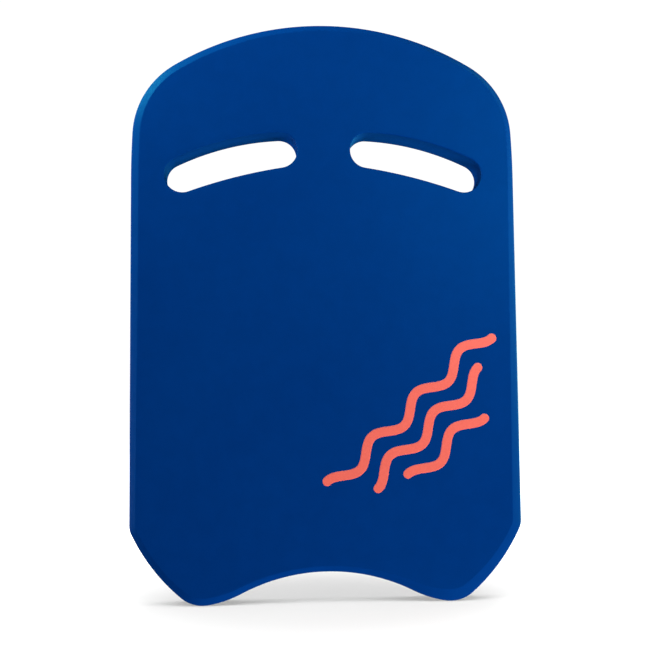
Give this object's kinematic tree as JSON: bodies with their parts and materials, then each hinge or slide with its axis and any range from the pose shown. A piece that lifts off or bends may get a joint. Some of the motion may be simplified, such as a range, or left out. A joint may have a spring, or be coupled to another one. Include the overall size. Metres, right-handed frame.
{
  "type": "swimming kickboard",
  "caption": "Flat foam kickboard float with a rounded nose, curved hand slots, a notched tail on rounded feet, and a printed wave design.",
  "frame": {"origin": "on the floor, midway between the feet and at mid thickness, with the board standing upright on its feet", "axes": "+Z along the board's length toward the nose, +X across the board to the right as the printed face is seen, -Y out of the printed face"},
  "size_m": [0.288, 0.0302, 0.43],
  "materials": {
    "foam": "satin closed-cell foam, royal blue",
    "ink": "matte screen-printed ink, coral"
  },
  "bodies": {
    "root": {"foam_board": "foam", "wave_band_upper": "ink", "wave_band_middle": "ink", "wave_band_lower": "ink"}
  },
  "joints": []
}
